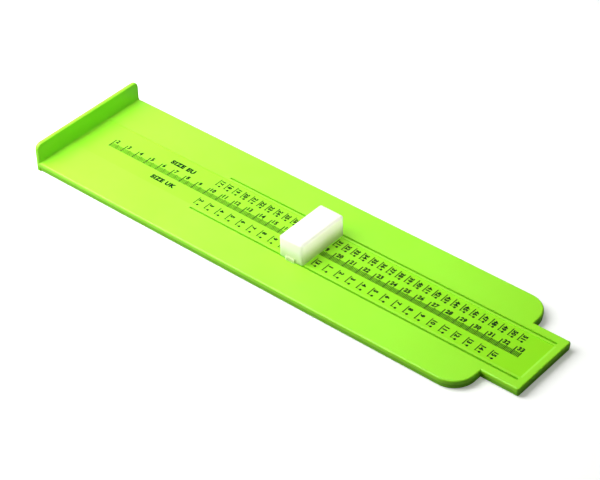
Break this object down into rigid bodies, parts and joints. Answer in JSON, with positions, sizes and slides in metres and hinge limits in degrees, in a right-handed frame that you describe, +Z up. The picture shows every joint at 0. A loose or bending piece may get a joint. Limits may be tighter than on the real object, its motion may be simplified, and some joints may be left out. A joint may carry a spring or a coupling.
{
  "type": "foot measuring device",
  "caption": "Foot gauge: flat board with an upright heel stop, a pull tab, long runner slots and a toe block that slides along them.",
  "frame": {"origin": "under the middle of the board, on the surface that it stands on", "axes": "+X along the board from the heel stop to the tab, +Y across the board towards the EU scale, +Z up"},
  "size_m": [0.3542, 0.09, 0.0208],
  "materials": {
    "board_plastic": "lime green moulded plastic, satin to semi-gloss",
    "slider_plastic": "milky white moulded plastic, smooth"
  },
  "bodies": {
    "board": {"board": "board_plastic"},
    "slider": {"slider_block": "slider_plastic", "slider_keeper": "slider_plastic"}
  },
  "joints": [
    {"name": "slider_travel", "type": "slide", "parent": "board", "child": "slider", "axis": [1, 0, 0], "range_m": [-0.0775, 0.1585]}
  ]
}
